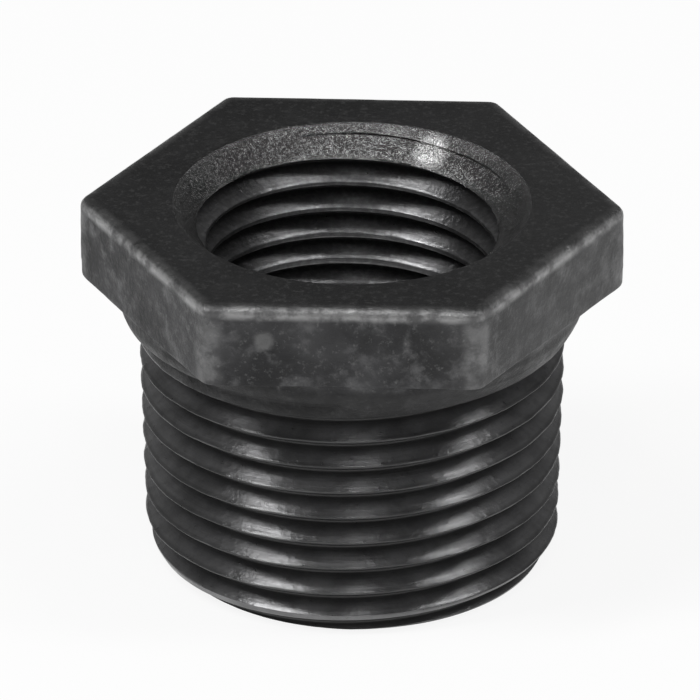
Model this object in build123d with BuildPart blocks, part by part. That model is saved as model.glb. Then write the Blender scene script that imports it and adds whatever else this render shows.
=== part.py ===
"""Hex reducing bushing for threaded pipe: 3/4 taper thread outside, 1/2 taper thread inside.

One iron casting with a hexagonal head, a round neck and a hollow shank. The shank carries the
outside thread, which screws into a fitting, and the bore takes the smaller pipe from above.
The origin is the centre of the flat lower end of the shank, the axis is Z and the head is up.
Two opposite wrench flats face +Y and -Y. All sizes are in millimetres.
"""

import os
from math import radians, tan

from build123d import *

# Head
across_flats = 29.8
head_height = 5.5
head_edge_radius = 0.45

# Neck, from the underside of the head to the top of the shank
collar_diameter = 29.4
collar_height = 1.0
collar_blend_radius = 0.8
neck_angle = 30

# Shank and the lead-in chamfer at its lower end
shank_length = 15.35
lead_in_diameter = 24.0
lead_in_angle = 30

# Thread form, the same for both threads: 14 turns to the inch, 60 degree V, 1 in 16 taper
pitch = 25.4 / 14
flank_angle = 30
crest_truncation = 0.05 * pitch
taper_angle = 1.7899

# Outside thread: pitch diameter at the lower end
outer_pitch_diameter = 24.58

# Bore: drilled hole, cast countersink at its mouth and chamfer at its lower end
drill_diameter = 18.26
countersink_diameter = 22.4
countersink_angle = 45
mouth_edge_radius = 0.3
exit_chamfer = 0.5

# Worked out from the sizes above
taper = tan(radians(taper_angle))
flank = tan(radians(flank_angle))
thread_depth = pitch / 2 / flank - 2 * crest_truncation
collar_radius = collar_diameter / 2
drill_radius = drill_diameter / 2
countersink_radius = countersink_diameter / 2
countersink_depth = (countersink_radius - drill_radius) / tan(radians(countersink_angle))
outer_pitch_radius = outer_pitch_diameter / 2
crest_at_end = outer_pitch_radius + thread_depth / 2
crest_at_neck = crest_at_end + shank_length * taper
lead_in_length = (crest_at_end - lead_in_diameter / 2) / (tan(radians(lead_in_angle)) - taper)
neck_height = abs(collar_radius - crest_at_neck) / tan(radians(neck_angle))
collar_bottom = shank_length + neck_height
head_bottom = collar_bottom + collar_height
total_height = head_bottom + head_height


with BuildPart() as hex_bushing:
    # Hexagonal head, every edge rounded by the casting
    with BuildSketch(Plane.XY.offset(head_bottom)):
        RegularPolygon(across_flats / 2, 6, major_radius=False)
    extrude(amount=head_height)
    fillet(hex_bushing.edges(), head_edge_radius)

    # Shank, neck and collar turned about the axis, reaching up into the head
    with BuildSketch(Plane.XZ):
        with BuildLine():
            Polyline(
                (0, 0),
                (lead_in_diameter / 2, 0),
                (crest_at_end + lead_in_length * taper, lead_in_length),
                (crest_at_neck, shank_length),
                (collar_radius, collar_bottom),
                (collar_radius, head_bottom + head_height / 2),
                (0, head_bottom + head_height / 2),
                close=True,
            )
        make_face()
    revolve(axis=Axis.Z)
    round_edges = hex_bushing.edges().filter_by(GeomType.CIRCLE)
    collar_edge = round_edges.sort_by(lambda edge: abs(edge.center().Z - collar_bottom))[0]
    fillet(collar_edge, collar_blend_radius)

    # Bore with its countersink and exit chamfer
    with BuildSketch(Plane.XZ):
        with BuildLine():
            Polyline(
                (0, -exit_chamfer),
                (drill_radius + 2 * exit_chamfer, -exit_chamfer),
                (drill_radius, exit_chamfer),
                (drill_radius, total_height - countersink_depth),
                (countersink_radius, total_height),
                (countersink_radius, total_height + head_height),
                (0, total_height + head_height),
                close=True,
            )
        make_face()
    revolve(axis=Axis.Z, mode=Mode.SUBTRACT)
    face_circles = hex_bushing.edges().filter_by(GeomType.CIRCLE).group_by(Axis.Z)[-1]
    fillet(face_circles.sort_by(SortBy.RADIUS)[-1], mouth_edge_radius)

hex_bushing.part.label = "hex_bushing"

os.makedirs("parts", exist_ok=True)
export_step(hex_bushing.part, "parts/hex_bushing.step")
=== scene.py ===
"""Hex bushing: one black iron casting with a taper pipe thread outside and another inside."""

import math

import bmesh
import bpy
from mathutils import Matrix, Vector, noise


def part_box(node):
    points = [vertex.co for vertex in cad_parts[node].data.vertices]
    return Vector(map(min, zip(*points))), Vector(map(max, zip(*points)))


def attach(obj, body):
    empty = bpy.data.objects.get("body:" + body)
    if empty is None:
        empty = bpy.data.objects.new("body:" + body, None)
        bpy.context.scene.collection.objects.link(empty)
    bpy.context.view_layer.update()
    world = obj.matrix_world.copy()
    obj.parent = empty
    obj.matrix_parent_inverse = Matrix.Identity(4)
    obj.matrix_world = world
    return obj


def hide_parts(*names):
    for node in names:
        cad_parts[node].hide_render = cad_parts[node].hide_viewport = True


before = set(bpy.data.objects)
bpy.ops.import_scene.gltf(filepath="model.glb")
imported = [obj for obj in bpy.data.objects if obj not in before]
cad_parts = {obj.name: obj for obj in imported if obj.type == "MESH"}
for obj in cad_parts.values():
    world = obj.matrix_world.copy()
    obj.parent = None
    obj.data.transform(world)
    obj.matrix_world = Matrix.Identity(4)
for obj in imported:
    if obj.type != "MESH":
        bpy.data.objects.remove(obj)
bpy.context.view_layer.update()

# Hexagon head and neck
# Malleable iron poured in a sand mould and left as cast: every edge is rounded, no face is
# quite even, and the round neck under the head slopes in to meet the threaded shank.
mm = 0.001
high_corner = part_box("hex_bushing")[1]
total_height = high_corner[2]
flat_distance = high_corner[1]
head_bottom = total_height - 5.5 * mm
upper_edge_radius = 0.6 * mm
lower_edge_radius = 0.2 * mm
upright_edge_cut = 0.5 * mm
collar_radius = 14.7 * mm
collar_bottom = head_bottom - 1.0 * mm
shank_top = 15.35 * mm
shank_radius = 13.465 * mm
neck_foot = shank_top + 1.65 * mm
collar_top = head_bottom - 0.25 * mm
steps_around = 192
steps_along_flat = 28
steps_up_flat = 16
rim_steps = 5


def turn(points, climb=0.0):
    """Turn a line of (radius, height) points once round the axis and return it as a bmesh."""
    surface = bmesh.new()
    verts = [surface.verts.new((radius, 0, height)) for radius, height in points]
    edges = [surface.edges.new(pair) for pair in zip(verts, verts[1:])]
    bmesh.ops.spin(
        surface,
        geom=verts + edges,
        axis=(0, 0, 1),
        angle=math.tau,
        steps=steps_around,
        dvec=(0, 0, climb / steps_around),
        use_merge=climb == 0,
    )
    bmesh.ops.remove_doubles(surface, verts=surface.verts, dist=0.001 * mm)
    return surface


def gather(target, surface):
    """Add one bmesh to another and free it."""
    carrier = bpy.data.meshes.new("carrier")
    surface.to_mesh(carrier)
    surface.free()
    target.from_mesh(carrier)
    bpy.data.meshes.remove(carrier)


def cast_hollow(place, depth):
    """How far the skin of the casting lies in from its true face at a place."""
    swell = noise.noise(place * 210 + Vector((3.1, 7.7, 1.3)))
    sand = noise.noise(place * 1100 + Vector((11.2, 2.9, 5.4)))
    return depth * min(max(0.5 + 0.62 * swell + 0.3 * sand, 0), 1.1)


head = bmesh.new()
bmesh.ops.create_circle(head, radius=flat_distance / math.cos(math.pi / 6), segments=6)
first_corner = next(iter(head.verts)).co
turn_to_corner = math.atan2(first_corner.y, first_corner.x)
bmesh.ops.rotate(head, verts=head.verts, matrix=Matrix.Rotation(-turn_to_corner, 3, "Z"))
bmesh.ops.translate(head, verts=head.verts, vec=(0, 0, head_bottom + lower_edge_radius))
walls = bmesh.ops.extrude_edge_only(head, edges=head.edges[:])["geom"]
bmesh.ops.translate(
    head,
    verts=[item for item in walls if isinstance(item, bmesh.types.BMVert)],
    vec=(0, 0, total_height - upper_edge_radius - head_bottom - lower_edge_radius),
)
uprights = [e for e in head.edges if abs(e.verts[0].co.z - e.verts[1].co.z) > mm]
bmesh.ops.bevel(
    head,
    geom=uprights,
    offset=upright_edge_cut,
    segments=4,
    profile=0.5,
    affect="EDGES",
    material=-1,
)
long_edges = [e for e in head.edges if e.calc_length() > 10 * mm]
bmesh.ops.subdivide_edges(head, edges=long_edges, cuts=steps_along_flat - 1, use_grid_fill=True)
uprights = [e for e in head.edges if abs(e.verts[0].co.z - e.verts[1].co.z) > mm]
bmesh.ops.subdivide_edges(head, edges=uprights, cuts=steps_up_flat - 1, use_grid_fill=True)

for height, radius, upward in (
    (head_bottom + lower_edge_radius, lower_edge_radius, -1),
    (total_height - upper_edge_radius, upper_edge_radius, 1),
):
    rim = [e for e in head.edges if e.is_boundary and abs(e.verts[0].co.z - height) < 0.01 * mm]
    cap = bmesh.ops.contextual_create(head, geom=rim)["faces"]
    bmesh.ops.recalc_face_normals(head, faces=head.faces)
    if cap[0].normal.z * upward < 0:
        cap[0].normal_flip()
    for step in range(rim_steps):
        before = math.radians(90 / rim_steps * step)
        after = math.radians(90 / rim_steps * (step + 1))
        bmesh.ops.inset_region(
            head,
            faces=cap,
            thickness=radius * (math.cos(before) - math.cos(after)),
            depth=radius * (math.sin(after) - math.sin(before)),
            use_even_offset=True,
        )
    bmesh.ops.delete(head, geom=cap, context="FACES_ONLY")

neck = turn(
    [
        (shank_radius + 0.95 * mm, neck_foot),
        (shank_radius + 1.08 * mm, shank_top + 1.9 * mm),
        (collar_radius - 0.06 * mm, collar_bottom),
        (collar_radius, collar_bottom + 0.2 * mm),
        (collar_radius, head_bottom - 0.5 * mm),
        (collar_radius, collar_top),
    ]
)

# Outside thread
# Taper pipe thread, fourteen turns to the inch, cut by a die: sharp crests with torn tops,
# a lead-in cone at the free end, and grooves that run out below the neck.
pitch = 25.4 / 14 * mm
taper = 1 / 32
neck_slope = math.tan(math.radians(30))
end_crest_radius = 12.985 * mm
outside_depth = 1.4 * mm
lead_in_radius = 12.0 * mm
lead_in_slope = math.tan(math.radians(30))
front = math.radians(272.3)
groove_at_front = 0.38 * mm
outside_join = shank_top + 1.55 * mm
end_rounding = 0.05 * mm
last_full_groove = 15.0 * mm
last_groove = 16.68 * mm
shallowest_groove = 0.25
dents = (
    (0.34 * mm, math.radians(314), 12.7 * mm, 0.75 * mm),
    (0.3 * mm, math.radians(303), 10.9 * mm, 0.6 * mm),
    (0.22 * mm, math.radians(251), 7.6 * mm, 0.6 * mm),
)
thread_form = (
    (0.0, 0.0),
    (0.035, 0.0),
    (0.07, 0.05),
    (0.12, 0.165),
    (0.18, 0.31),
    (0.24, 0.45),
    (0.3, 0.595),
    (0.36, 0.735),
    (0.41, 0.85),
    (0.45, 0.93),
    (0.48, 0.975),
    (0.51, 0.99),
    (0.54, 0.965),
    (0.58, 0.88),
    (0.64, 0.735),
    (0.7, 0.595),
    (0.76, 0.45),
    (0.82, 0.31),
    (0.88, 0.165),
    (0.93, 0.05),
    (0.965, 0.0),
)


def thread_line(lowest, turns):
    """A line up the axis with one thread form to each pitch, drawn a millimetre high."""
    return [
        ((10 + height) * mm, lowest + (turn_number + along) * pitch)
        for turn_number in range(turns)
        for along, height in thread_form
    ]


def fade(value, start, stop):
    """Fall smoothly from 1 at start to 0 at stop."""
    part = min(max((value - start) / (stop - start), 0), 1)
    return 1 - part * part * (3 - 2 * part)


def dent(place, angle, height, reach):
    """How much of a small dent centred near the crests at an angle and a height is felt."""
    centre = Vector((13.2 * mm * math.cos(angle), 13.2 * mm * math.sin(angle), height))
    return fade((place - centre).length, 0, reach)


def keep_between(surface, low, high):
    """Cut a surface off below one height and above another."""
    for height, keep_above in ((low, True), (high, False)):
        bmesh.ops.bisect_plane(
            surface,
            geom=surface.verts[:] + surface.edges[:] + surface.faces[:],
            dist=0.001 * mm,
            plane_co=(0, 0, height),
            plane_no=(0, 0, 1),
            clear_inner=keep_above,
            clear_outer=not keep_above,
        )


outside = turn(thread_line(groove_at_front - front / math.tau * pitch - 2 * pitch, 12), pitch)
for vert in outside.verts:
    place = vert.co.copy()
    form = math.hypot(place.x, place.y) / mm - 10
    crest = end_crest_radius + taper * place.z
    torn = noise.noise(Vector((place.x, place.y, place.z * 2.2)) * 620)
    ragged = noise.noise(place * 2600)
    beyond = (math.atan2(place.y, place.x) - front) % math.tau / math.tau * pitch
    groove = groove_at_front + beyond + round((place.z - groove_at_front - beyond) / pitch) * pitch
    blank = crest + max(place.z - shank_top, 0) * (neck_slope - taper)
    fading = fade(groove, last_full_groove, last_groove)
    run_out = shallowest_groove + (1 - shallowest_groove) * fading
    run_out *= fade(groove, last_groove, last_groove + 0.02 * mm)
    reach = blank - (outside_depth + blank - crest) * (1 - form) * run_out
    reach -= (0.03 + 0.05 * torn + 0.014 * ragged) * mm * max(form - 0.5, 0) / 0.5
    reach -= 0.012 * mm * (1 + ragged)
    reach = min(reach, lead_in_radius + lead_in_slope * max(place.z, 0) - 0.01 * mm * (1 + ragged))
    for depth, angle, height, spread in dents:
        reach -= depth * dent(place, angle, height, spread)
    scale = reach / math.hypot(place.x, place.y)
    vert.co = (place.x * scale, place.y * scale, place.z)
keep_between(outside, end_rounding, outside_join)

# Bore
# Drilled through, opened by a rough countersink at the head, and tapped with a smaller taper
# pipe thread of the same pitch that runs out about two thirds of the way down.
drill_radius = 9.13 * mm
countersink_radius = 11.2 * mm
face_pitch_radius = 9.97 * mm
inside_depth = 1.52 * mm
groove_at_back = 23.38 * mm
back = math.radians(92.3)
inside_full_depth = 14.6 * mm
inside_end_depth = 17.2 * mm
mouth_foot = total_height - 0.3 * mm
countersink_join = total_height - 0.42 * mm
bore_join = 5.9 * mm
plain_bore_top = 5.6 * mm
exit_chamfer = 0.5 * mm

inside = turn(thread_line(groove_at_back - back / math.tau * pitch - 10.5 * pitch, 12), pitch)
for vert in inside.verts:
    place = vert.co.copy()
    form = math.hypot(place.x, place.y) / mm - 10
    below_face = total_height - place.z
    torn = noise.noise(Vector((place.x, place.y, place.z * 2.2)) * 700 + Vector((5, 1, 8)))
    ragged = noise.noise(place * 2400 + Vector((2, 2, 9)))
    cut = face_pitch_radius - taper * below_face + (form - 0.5) * inside_depth
    reach = max(cut, drill_radius + (0.03 + 0.04 * torn) * mm)
    fading = fade(below_face, inside_full_depth, inside_end_depth)
    reach = drill_radius + (reach - drill_radius) * fading
    rough = noise.noise(Vector((place.x * 900, place.y * 900, place.z * 500)))
    cone = countersink_radius - below_face + (0.045 * rough - 0.04 + 0.02 * ragged) * mm
    reach = max(reach, cone) + 0.01 * mm * ragged
    scale = reach / math.hypot(place.x, place.y)
    vert.co = (place.x * scale, place.y * scale, place.z)
keep_between(inside, bore_join, countersink_join)
mouth = turn(
    [
        (countersink_radius - 0.3 * mm, mouth_foot),
        (countersink_radius - 0.1 * mm, total_height - 0.13 * mm),
        (countersink_radius + 0.06 * mm, total_height - 0.04 * mm),
        (countersink_radius + 0.22 * mm, total_height),
    ]
)
outlet = turn(
    [
        (drill_radius + exit_chamfer + 0.9 * mm, 0),
        (drill_radius + exit_chamfer, 0),
        (drill_radius + exit_chamfer * 0.5, exit_chamfer * 0.5),
        (drill_radius, exit_chamfer),
        (drill_radius, 2.2 * mm),
        (drill_radius, 4.0 * mm),
        (drill_radius, plain_bore_top),
    ]
)

# The whole casting
# The surfaces above are one piece of iron, so they are joined edge to edge into a closed
# skin before the sand's unevenness is pressed into the parts that were never machined.
casting = bmesh.new()
for surface in (head, neck, outside, inside, mouth, outlet):
    gather(casting, surface)


def open_ring(height, nearest, farthest):
    """The open edges at one height whose distance from the axis lies in a range."""
    ring = []
    for edge in casting.edges:
        middle = (edge.verts[0].co + edge.verts[1].co) / 2
        reach = math.hypot(middle.x, middle.y)
        if edge.is_boundary and abs(middle.z - height) < 0.02 * mm and nearest < reach < farthest:
            ring.append(edge)
    return ring


# For each join: the height and the radii that find one ring, the same for the other ring,
# and how many rings are added between them
joins = (
    (total_height, 12 * mm, 18 * mm, total_height, 10 * mm, 12 * mm, 11),
    (head_bottom, 14 * mm, 18 * mm, collar_top, 14 * mm, 15 * mm, 4),
    (neck_foot, 14 * mm, 15 * mm, outside_join, 13 * mm, 15 * mm, 0),
    (mouth_foot, 10 * mm, 12 * mm, countersink_join, 10 * mm, 12 * mm, 0),
    (plain_bore_top, 8 * mm, 10 * mm, bore_join, 8 * mm, 10 * mm, 0),
    (0, 10 * mm, 10.7 * mm, end_rounding, 10.7 * mm, 13 * mm, 0),
)
for height_a, near_a, far_a, height_b, near_b, far_b, rings in joins:
    ring_a = open_ring(height_a, near_a, far_a)
    ring_b = open_ring(height_b, near_b, far_b)
    bridge = bmesh.ops.bridge_loops(casting, edges=ring_a + ring_b)
    if rings:
        bmesh.ops.subdivide_edges(casting, edges=bridge["edges"], cuts=rings, use_grid_fill=True)
bmesh.ops.remove_doubles(casting, verts=casting.verts, dist=0.0005 * mm)
bmesh.ops.recalc_face_normals(casting, faces=casting.faces)
# The lower corners of the hexagon, which overhang the collar, are softened
under_corners = [
    v
    for v in casting.verts
    if head_bottom - 0.2 * mm < v.co.z < head_bottom + 1.1 * mm
    and math.hypot(v.co.x, v.co.y) > 15.4 * mm
]
for _ in range(6):
    bmesh.ops.smooth_vert(
        casting, verts=under_corners, factor=0.5, use_axis_x=True, use_axis_y=True, use_axis_z=True
    )
bmesh.ops.recalc_face_normals(casting, faces=casting.faces)
casting.normal_update()
for vert in casting.verts:
    reach = math.hypot(vert.co.x, vert.co.y)
    if vert.co.z > outside_join and reach > countersink_radius + 0.3 * mm:
        on_top = vert.normal.z > 0.8
        vert.co -= vert.normal * cast_hollow(vert.co, (0.03 if on_top else 0.075) * mm)
for face in casting.faces:
    middle = face.calc_center_median()
    reach = math.hypot(middle.x, middle.y)
    machined = middle.z < shank_top + 0.25 * mm or reach < countersink_radius + 0.1 * mm
    in_bore = machined and reach < drill_radius + 1.9 * mm + taper * (middle.z - total_height)
    on_countersink = reach < countersink_radius + 0.1 * mm and middle.z > total_height - 1.9 * mm
    face.material_index = 2 if in_bore or on_countersink else int(machined)
    face.smooth = True


def add_node(tree, kind, inputs=None, **settings):
    """Add a node with its settings, linking or setting its inputs."""
    made = tree.nodes.new(kind)
    for name, value in settings.items():
        setattr(made, name, value)
    for name, value in (inputs or {}).items():
        if isinstance(value, bpy.types.NodeSocket):
            tree.links.new(value, made.inputs[name])
        else:
            made.inputs[name].default_value = value
    return made


def calc(tree, operation, a, b=0.0, c=0.0):
    """One step of arithmetic on sockets or numbers."""
    return add_node(tree, "ShaderNodeMath", {0: a, 1: b, 2: c}, operation=operation).outputs[0]


def between(tree, value, low, high, out_low=0.0, out_high=1.0):
    """Rise smoothly from one output to another as a value goes from low to high."""
    return add_node(
        tree,
        "ShaderNodeMapRange",
        {"Value": value, "From Min": low, "From Max": high, "To Min": out_low, "To Max": out_high},
        interpolation_type="SMOOTHSTEP",
    ).outputs["Result"]


def grain(tree, place, scale, detail=3.0, roughness=0.55):
    """Noise at a number of waves to the millimetre."""
    return add_node(
        tree,
        "ShaderNodeTexNoise",
        {"Vector": place, "Scale": scale, "Detail": detail, "Roughness": roughness},
    ).outputs["Fac"]


def blend_colour(tree, mask, dark, light):
    """Mix two colours by a mask."""
    mixer = add_node(tree, "ShaderNodeMix", {"Factor": mask}, data_type="RGBA")
    for socket, colour in ((mixer.inputs[6], dark), (mixer.inputs[7], light)):
        if isinstance(colour, bpy.types.NodeSocket):
            tree.links.new(colour, socket)
        else:
            socket.default_value = (*colour, 1)
    return mixer.outputs[2]


def new_group(name, outputs):
    """An empty node group with named outputs of the given kinds."""
    group = bpy.data.node_groups.new(name, "ShaderNodeTree")
    for title, kind in outputs:
        group.interface.new_socket(title, in_out="OUTPUT", socket_type=kind)
    return group


def place_in_mm(tree):
    """The position on the piece in millimetres."""
    position = add_node(tree, "ShaderNodeTexCoord").outputs["Object"]
    return add_node(
        tree, "ShaderNodeVectorMath", {0: position, 1: (1000, 1000, 1000)}, operation="MULTIPLY"
    ).outputs[0]


# The position in millimetres, the height, the distance from the axis and a position drawn
# out along the thread
around = new_group(
    "place_on_bushing",
    (
        ("Place", "NodeSocketVector"),
        ("Height", "NodeSocketFloat"),
        ("Reach", "NodeSocketFloat"),
        ("Wrapped", "NodeSocketVector"),
    ),
)
place_mm = place_in_mm(around)
split = add_node(around, "ShaderNodeSeparateXYZ", {"Vector": place_mm})
reach_mm = calc(
    around,
    "SQRT",
    calc(
        around,
        "ADD",
        calc(around, "MULTIPLY", split.outputs["X"], split.outputs["X"]),
        calc(around, "MULTIPLY", split.outputs["Y"], split.outputs["Y"]),
    ),
)
angle = calc(around, "ARCTAN2", split.outputs["Y"], split.outputs["X"])
climbed = calc(
    around,
    "SUBTRACT",
    split.outputs["Z"],
    calc(around, "MULTIPLY", angle, pitch / mm / math.tau),
)
wrapped = add_node(
    around,
    "ShaderNodeCombineXYZ",
    {
        "X": calc(around, "MULTIPLY", calc(around, "COSINE", angle), 1.6),
        "Y": calc(around, "MULTIPLY", calc(around, "SINE", angle), 1.6),
        "Z": calc(around, "MULTIPLY", climbed, 7.0),
    },
).outputs[0]
result = add_node(around, "NodeGroupOutput")
for title, socket in (
    ("Place", place_mm),
    ("Height", split.outputs["Z"]),
    ("Reach", reach_mm),
    ("Wrapped", wrapped),
):
    around.links.new(socket, result.inputs[title])

# How much the cast edges are lightened: 1 on the rounded rims and upright edges of the hexagon, where
# the lighter colour is partly real abrasion and partly a painted highlight
edge_wear_and_highlight = new_group("worn_and_highlit_edges", (("WearAndHighlight", "NodeSocketFloat"),))
place_mm = place_in_mm(edge_wear_and_highlight)
split = add_node(edge_wear_and_highlight, "ShaderNodeSeparateXYZ", {"Vector": place_mm})
half_y = calc(edge_wear_and_highlight, "MULTIPLY", split.outputs["Y"], 0.5)
side_x = calc(edge_wear_and_highlight, "MULTIPLY", split.outputs["X"], math.sqrt(0.75))
across = [
    calc(edge_wear_and_highlight, "ABSOLUTE", split.outputs["Y"]),
    calc(edge_wear_and_highlight, "ABSOLUTE", calc(edge_wear_and_highlight, "ADD", half_y, side_x)),
    calc(edge_wear_and_highlight, "ABSOLUTE", calc(edge_wear_and_highlight, "SUBTRACT", half_y, side_x)),
]
widest = calc(edge_wear_and_highlight, "MAXIMUM", calc(edge_wear_and_highlight, "MAXIMUM", across[0], across[1]), across[2])
narrowest = calc(
    edge_wear_and_highlight, "MINIMUM", calc(edge_wear_and_highlight, "MINIMUM", across[0], across[1]), across[2]
)
middle_one = calc(
    edge_wear_and_highlight,
    "SUBTRACT",
    calc(edge_wear_and_highlight, "ADD", calc(edge_wear_and_highlight, "ADD", across[0], across[1]), across[2]),
    calc(edge_wear_and_highlight, "ADD", widest, narrowest),
)
flat_mm = flat_distance / mm
on_rim = calc(
    edge_wear_and_highlight,
    "MULTIPLY",
    between(edge_wear_and_highlight, widest, flat_mm - 1.0, flat_mm - 0.45),
    between(edge_wear_and_highlight, split.outputs["Z"], total_height / mm - 1.0, total_height / mm - 0.45),
)
on_corner = between(edge_wear_and_highlight, middle_one, flat_mm - 1.3, flat_mm - 0.45)
on_corner = calc(edge_wear_and_highlight, "MULTIPLY", on_corner, 0.35)
broken = between(edge_wear_and_highlight, grain(edge_wear_and_highlight, place_mm, 0.55, 4.0, 0.65), 0.36, 0.62, 0.25, 1.0)
wear_and_highlight = calc(edge_wear_and_highlight, "MULTIPLY", calc(edge_wear_and_highlight, "MAXIMUM", on_rim, on_corner), broken)
result = add_node(edge_wear_and_highlight, "NodeGroupOutput")
edge_wear_and_highlight.links.new(wear_and_highlight, result.inputs["WearAndHighlight"])


def iron_material(name):
    """A material with the position group and the shader ready to be linked."""
    made = bpy.data.materials.new(name)
    made.use_nodes = True
    tree = made.node_tree
    where = tree.nodes.new("ShaderNodeGroup")
    where.node_tree = around
    return made, tree, where.outputs, tree.nodes["Principled BSDF"]


def raise_surface(tree, shader, height, distance, strength=1.0):
    """Feed a height in millimetres to the shader's normal."""
    bump = add_node(
        tree,
        "ShaderNodeBump",
        {"Height": height, "Distance": distance, "Strength": strength},
    )
    tree.links.new(bump.outputs["Normal"], shader.inputs["Normal"])


def stretch_along_cut(tree, shader):
    """Draw highlights out across the fine marks that a turning cut leaves round the axis."""
    lay_of_cut = add_node(tree, "ShaderNodeTangent", direction_type="RADIAL", axis="Z")
    tree.links.new(lay_of_cut.outputs["Tangent"], shader.inputs["Tangent"])
    shader.inputs["Anisotropic"].default_value = 0.9
    shader.inputs["Anisotropic Rotation"].default_value = 0.25


# The skin that the sand mould left: mottled black, lighter on the rims, partly abraded bare and partly
# a painted highlight
skin, tree, where, shader = iron_material("cast_iron_skin")
cloud = grain(tree, where["Place"], 0.16, 4.0, 0.6)
mottle = grain(tree, where["Place"], 0.7, 5.0, 0.62)
sand = grain(tree, where["Place"], 3.4, 5.0, 0.66)
colour = blend_colour(
    tree, between(tree, cloud, 0.35, 0.65), (0.036, 0.036, 0.037), (0.066, 0.066, 0.068)
)
colour = blend_colour(tree, between(tree, mottle, 0.5, 0.72), colour, (0.105, 0.105, 0.107))
colour = blend_colour(
    tree, calc(tree, "MULTIPLY", between(tree, sand, 0.55, 0.72), 0.5), colour, (0.18, 0.18, 0.18)
)
# Painted light: the skin's colour grows lighter towards the right side of the piece
sideways_mm = add_node(tree, "ShaderNodeSeparateXYZ", {"Vector": where["Place"]}).outputs["X"]
painted_light_right = calc(tree, "MULTIPLY", between(tree, sideways_mm, 3.0, 14.0), 0.45)
colour = blend_colour(tree, painted_light_right, colour, (0.13, 0.13, 0.13))
# Painted shade: the neck just under the head is painted darker
painted_shade_under_head = between(tree, where["Height"], head_bottom / mm, head_bottom / mm - 0.8)
colour = blend_colour(
    tree, calc(tree, "MULTIPLY", painted_shade_under_head, 0.7), colour, (0.035, 0.035, 0.035)
)
edge_wear_and_highlight_node = tree.nodes.new("ShaderNodeGroup")
edge_wear_and_highlight_node.node_tree = edge_wear_and_highlight
# Lighter rims and upright edges: partly abraded bare iron, partly a painted highlight
colour = blend_colour(
    tree, calc(tree, "MULTIPLY", edge_wear_and_highlight_node.outputs["WearAndHighlight"], 0.85), colour, (0.42, 0.42, 0.42)
)
blemish_centre_mm = (-4.87, -flat_distance / mm, 21.73)
blemish = add_node(
    tree, "ShaderNodeVectorMath", {0: where["Place"], 1: blemish_centre_mm}, operation="DISTANCE"
).outputs["Value"]
blemish = calc(tree, "ADD", blemish, calc(tree, "MULTIPLY", sand, 0.5))
blemish = between(tree, blemish, 1.05, 0.6)
colour = blend_colour(tree, calc(tree, "MULTIPLY", blemish, 0.8), colour, (0.17, 0.17, 0.17))
# Painted shade: the top face is painted darker than the flats
on_top = between(tree, where["Height"], total_height / mm - 0.3, total_height / mm - 0.08)
colour = blend_colour(
    tree, calc(tree, "MULTIPLY", on_top, 0.72), colour, (0.022, 0.022, 0.022)
)
bright_grain = calc(tree, "MULTIPLY", on_top, between(tree, sand, 0.5, 0.68))
colour = blend_colour(tree, calc(tree, "MULTIPLY", bright_grain, 0.5), colour, (0.1, 0.1, 0.1))
tree.links.new(colour, shader.inputs["Base Color"])
roughness = between(tree, mottle, 0.35, 0.7, 0.58, 0.42)
roughness = calc(tree, "SUBTRACT", roughness, calc(tree, "MULTIPLY", edge_wear_and_highlight_node.outputs["WearAndHighlight"], 0.12))
tree.links.new(roughness, shader.inputs["Roughness"])
shader.inputs["Metallic"].default_value = 0.9
height = calc(tree, "ADD", calc(tree, "MULTIPLY", mottle, 0.55), calc(tree, "MULTIPLY", sand, 0.3))
height = calc(tree, "ADD", height, calc(tree, "MULTIPLY", blemish, 0.3))
raise_surface(tree, shader, height, 0.00022)

# The die's cut: smooth flanks, darker torn crests and painted shade in the grooves
thread_skin, tree, where, shader = iron_material("die_cut_thread")
marks = grain(tree, where["Wrapped"], 1.0, 3.0, 0.6)
stain = grain(tree, where["Place"], 0.35, 4.0, 0.6)
torn = grain(tree, where["Place"], 1.9, 4.0, 0.65)
crest_mm = calc(
    tree, "ADD", calc(tree, "MULTIPLY", where["Height"], taper), end_crest_radius / mm
)
below_crest = calc(tree, "SUBTRACT", crest_mm, where["Reach"])
colour = blend_colour(
    tree, between(tree, stain, 0.3, 0.7), (0.13, 0.13, 0.132), (0.22, 0.22, 0.223)
)
colour = blend_colour(
    tree,
    calc(tree, "MULTIPLY", between(tree, torn, 0.5, 0.75), 0.35),
    colour,
    (0.1, 0.1, 0.1),
)
# Painted shade: the flanks are painted darker toward the roots of the thread
colour = blend_colour(tree, between(tree, below_crest, 0.7, 1.5), colour, (0.08, 0.08, 0.08))
colour = blend_colour(
    tree,
    calc(tree, "MULTIPLY", between(tree, below_crest, 0.36, 0.08), 0.6),
    colour,
    (0.06, 0.06, 0.06),
)
tree.links.new(colour, shader.inputs["Base Color"])
tree.links.new(between(tree, torn, 0.3, 0.75, 0.35, 0.27), shader.inputs["Roughness"])
stretch_along_cut(tree, shader)
shader.inputs["Metallic"].default_value = 0.9
height = calc(tree, "ADD", calc(tree, "MULTIPLY", marks, 0.4), calc(tree, "MULTIPLY", torn, 0.5))
raise_surface(tree, shader, height, 0.00006)

# The tap's cut, and the coarse speckled cone of the countersink above it
bore_skin, tree, where, shader = iron_material("tapped_bore")
marks = grain(tree, where["Wrapped"], 1.0, 3.0, 0.6)
torn = grain(tree, where["Place"], 2.1, 4.0, 0.65)
patch = grain(tree, where["Place"], 0.5, 4.0, 0.6)
speckle = grain(tree, where["Place"], 5.0, 4.0, 0.65)
rough_cone = between(tree, where["Height"], total_height / mm - 2.3, total_height / mm - 1.5)
beyond_drill = calc(tree, "SUBTRACT", where["Reach"], drill_radius / mm)
colour = blend_colour(
    tree, between(tree, torn, 0.35, 0.75), (0.13, 0.13, 0.132), (0.22, 0.22, 0.223)
)
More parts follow.
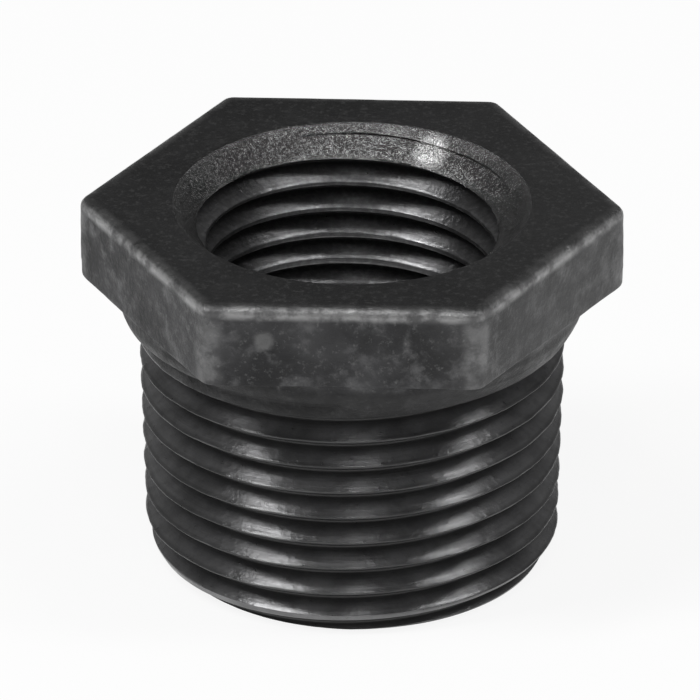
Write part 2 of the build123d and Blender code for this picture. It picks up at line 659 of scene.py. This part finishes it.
# Painted shade: the tapped thread is painted darker toward its roots
colour = blend_colour(tree, between(tree, beyond_drill, 0.9, 1.7), colour, (0.07, 0.07, 0.07))
ring_colour = blend_colour(
    tree, between(tree, speckle, 0.3, 0.75), (0.03, 0.03, 0.03), (0.19, 0.19, 0.19)
)
# A lighter patch on the countersink cone at the back right
lighter_patch_centre_mm = (4.7, 9.2, 22.95)
lighter_patch = add_node(
    tree, "ShaderNodeVectorMath", {0: where["Place"], 1: lighter_patch_centre_mm}, operation="DISTANCE"
).outputs["Value"]
ring_colour = blend_colour(
    tree, calc(tree, "MULTIPLY", between(tree, patch, 0.5, 0.75), 0.5), ring_colour, (0.22, 0.22, 0.22)
)
ring_colour = blend_colour(tree, between(tree, lighter_patch, 1.5, 0.5), ring_colour, (0.42, 0.42, 0.42))
colour = blend_colour(tree, rough_cone, colour, ring_colour)
tree.links.new(colour, shader.inputs["Base Color"])
roughness = between(tree, torn, 0.3, 0.75, 0.35, 0.27)
roughness = calc(tree, "SUBTRACT", roughness, calc(tree, "MULTIPLY", rough_cone, 0.13))
tree.links.new(roughness, shader.inputs["Roughness"])
stretch_along_cut(tree, shader)
shader.inputs["Metallic"].default_value = 0.9
height = calc(tree, "ADD", calc(tree, "MULTIPLY", marks, 0.35), calc(tree, "MULTIPLY", torn, 0.55))
pitted = calc(tree, "MULTIPLY", calc(tree, "MULTIPLY", speckle, rough_cone), 1.2)
raise_surface(tree, shader, calc(tree, "ADD", height, pitted), 0.00008)

mesh = bpy.data.meshes.new("iron_bushing")
casting.to_mesh(mesh)
casting.free()
for material in (skin, thread_skin, bore_skin):
    mesh.materials.append(material)
mesh.set_sharp_from_angle(angle=math.radians(50))
bushing = bpy.data.objects.new("iron_bushing", mesh)
bpy.context.scene.collection.objects.link(bushing)
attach(bushing, "root")
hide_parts("hex_bushing")

# Table and studio
# A broad pale table top under the bushing, two soft lights overhead to the left and right,
# and a narrow one between them that draws a thin line down the middle of the threads.
table_radius = 1.6
light_distance = 0.6
table_top = bmesh.new()
bmesh.ops.create_circle(table_top, cap_ends=True, radius=table_radius, segments=96)
table_mesh = bpy.data.meshes.new("table_top")
table_top.to_mesh(table_mesh)
table_top.free()
table_object = bpy.data.objects.new("table_top", table_mesh)
bpy.context.scene.collection.objects.link(table_object)
table_paint = bpy.data.materials.new("white_table")
table_paint.use_nodes = True
tree = table_paint.node_tree
shader = tree.nodes["Principled BSDF"]
shader.inputs["Base Color"].default_value = (0.8, 0.8, 0.8, 1)
shader.inputs["Roughness"].default_value = 0.8
path = add_node(tree, "ShaderNodeLightPath").outputs
direct = calc(tree, "MAXIMUM", path["Is Camera Ray"], path["Is Glossy Ray"])
seen = calc(tree, "MAXIMUM", direct, path["Is Transmission Ray"])
glow = add_node(tree, "ShaderNodeEmission", {"Color": (1, 1, 1, 1), "Strength": 1.0})
mixed = add_node(
    tree,
    "ShaderNodeMixShader",
    {0: calc(tree, "MULTIPLY", seen, 0.88), 1: shader.outputs[0], 2: glow.outputs[0]},
)
tree.links.new(mixed.outputs[0], tree.nodes["Material Output"].inputs["Surface"])
table_mesh.materials.append(table_paint)

world = bpy.data.worlds.new("studio_air")
world.use_nodes = True
world.node_tree.nodes["Background"].inputs["Color"].default_value = (0.24, 0.24, 0.24, 1)
world.node_tree.nodes["Background"].inputs["Strength"].default_value = 1.0
bpy.context.scene.world = world

for name, towards, width, depth, energy in (
    ("left_light", (-0.455, -0.21, 0.865), 0.08, 0.36, 2.2),
    ("right_light", (0.47, -0.08, 0.875), 0.09, 0.36, 1.2),
    ("strip_light", (0.03, -0.48, 0.87), 0.006, 0.36, 0.3),
):
    lamp = bpy.data.lights.new(name, "AREA")
    lamp.shape = "RECTANGLE"
    lamp.size = width
    lamp.size_y = depth
    lamp.energy = energy
    holder = bpy.data.objects.new(name, lamp)
    holder.location = Vector(towards).normalized() * light_distance
    holder.rotation_euler = Vector(towards).to_track_quat("Z", "Y").to_euler()
    bpy.context.scene.collection.objects.link(holder)

# Camera
# It looks down on the bushing from a little to the right of the front flat, through a very
# long lens from about a metre away.
azimuth = math.radians(2.3)
elevation = math.radians(27.3)
picture_width = 700
pixels_per_mm = 15.9
backwards = Vector(
    (
        math.sin(azimuth) * math.cos(elevation),
        -math.cos(azimuth) * math.cos(elevation),
        math.sin(elevation),
    )
)
sideways = Vector((math.cos(azimuth), math.sin(azimuth), 0))
aim = Vector((0, 0, 13.55 * mm)) - sideways * 0.127 * mm
lens = bpy.data.cameras.new("camera")
lens.lens = 900
lens.sensor_width = 36
camera = bpy.data.objects.new("camera", lens)
distance = picture_width / pixels_per_mm * mm * lens.lens / lens.sensor_width
camera.location = aim + backwards * distance
camera.rotation_euler = backwards.to_track_quat("Z", "Y").to_euler()
lens.clip_start = 0.05
lens.clip_end = 10
bpy.context.scene.collection.objects.link(camera)
bpy.context.scene.camera = camera
bpy.context.scene.view_settings.view_transform = "Standard"
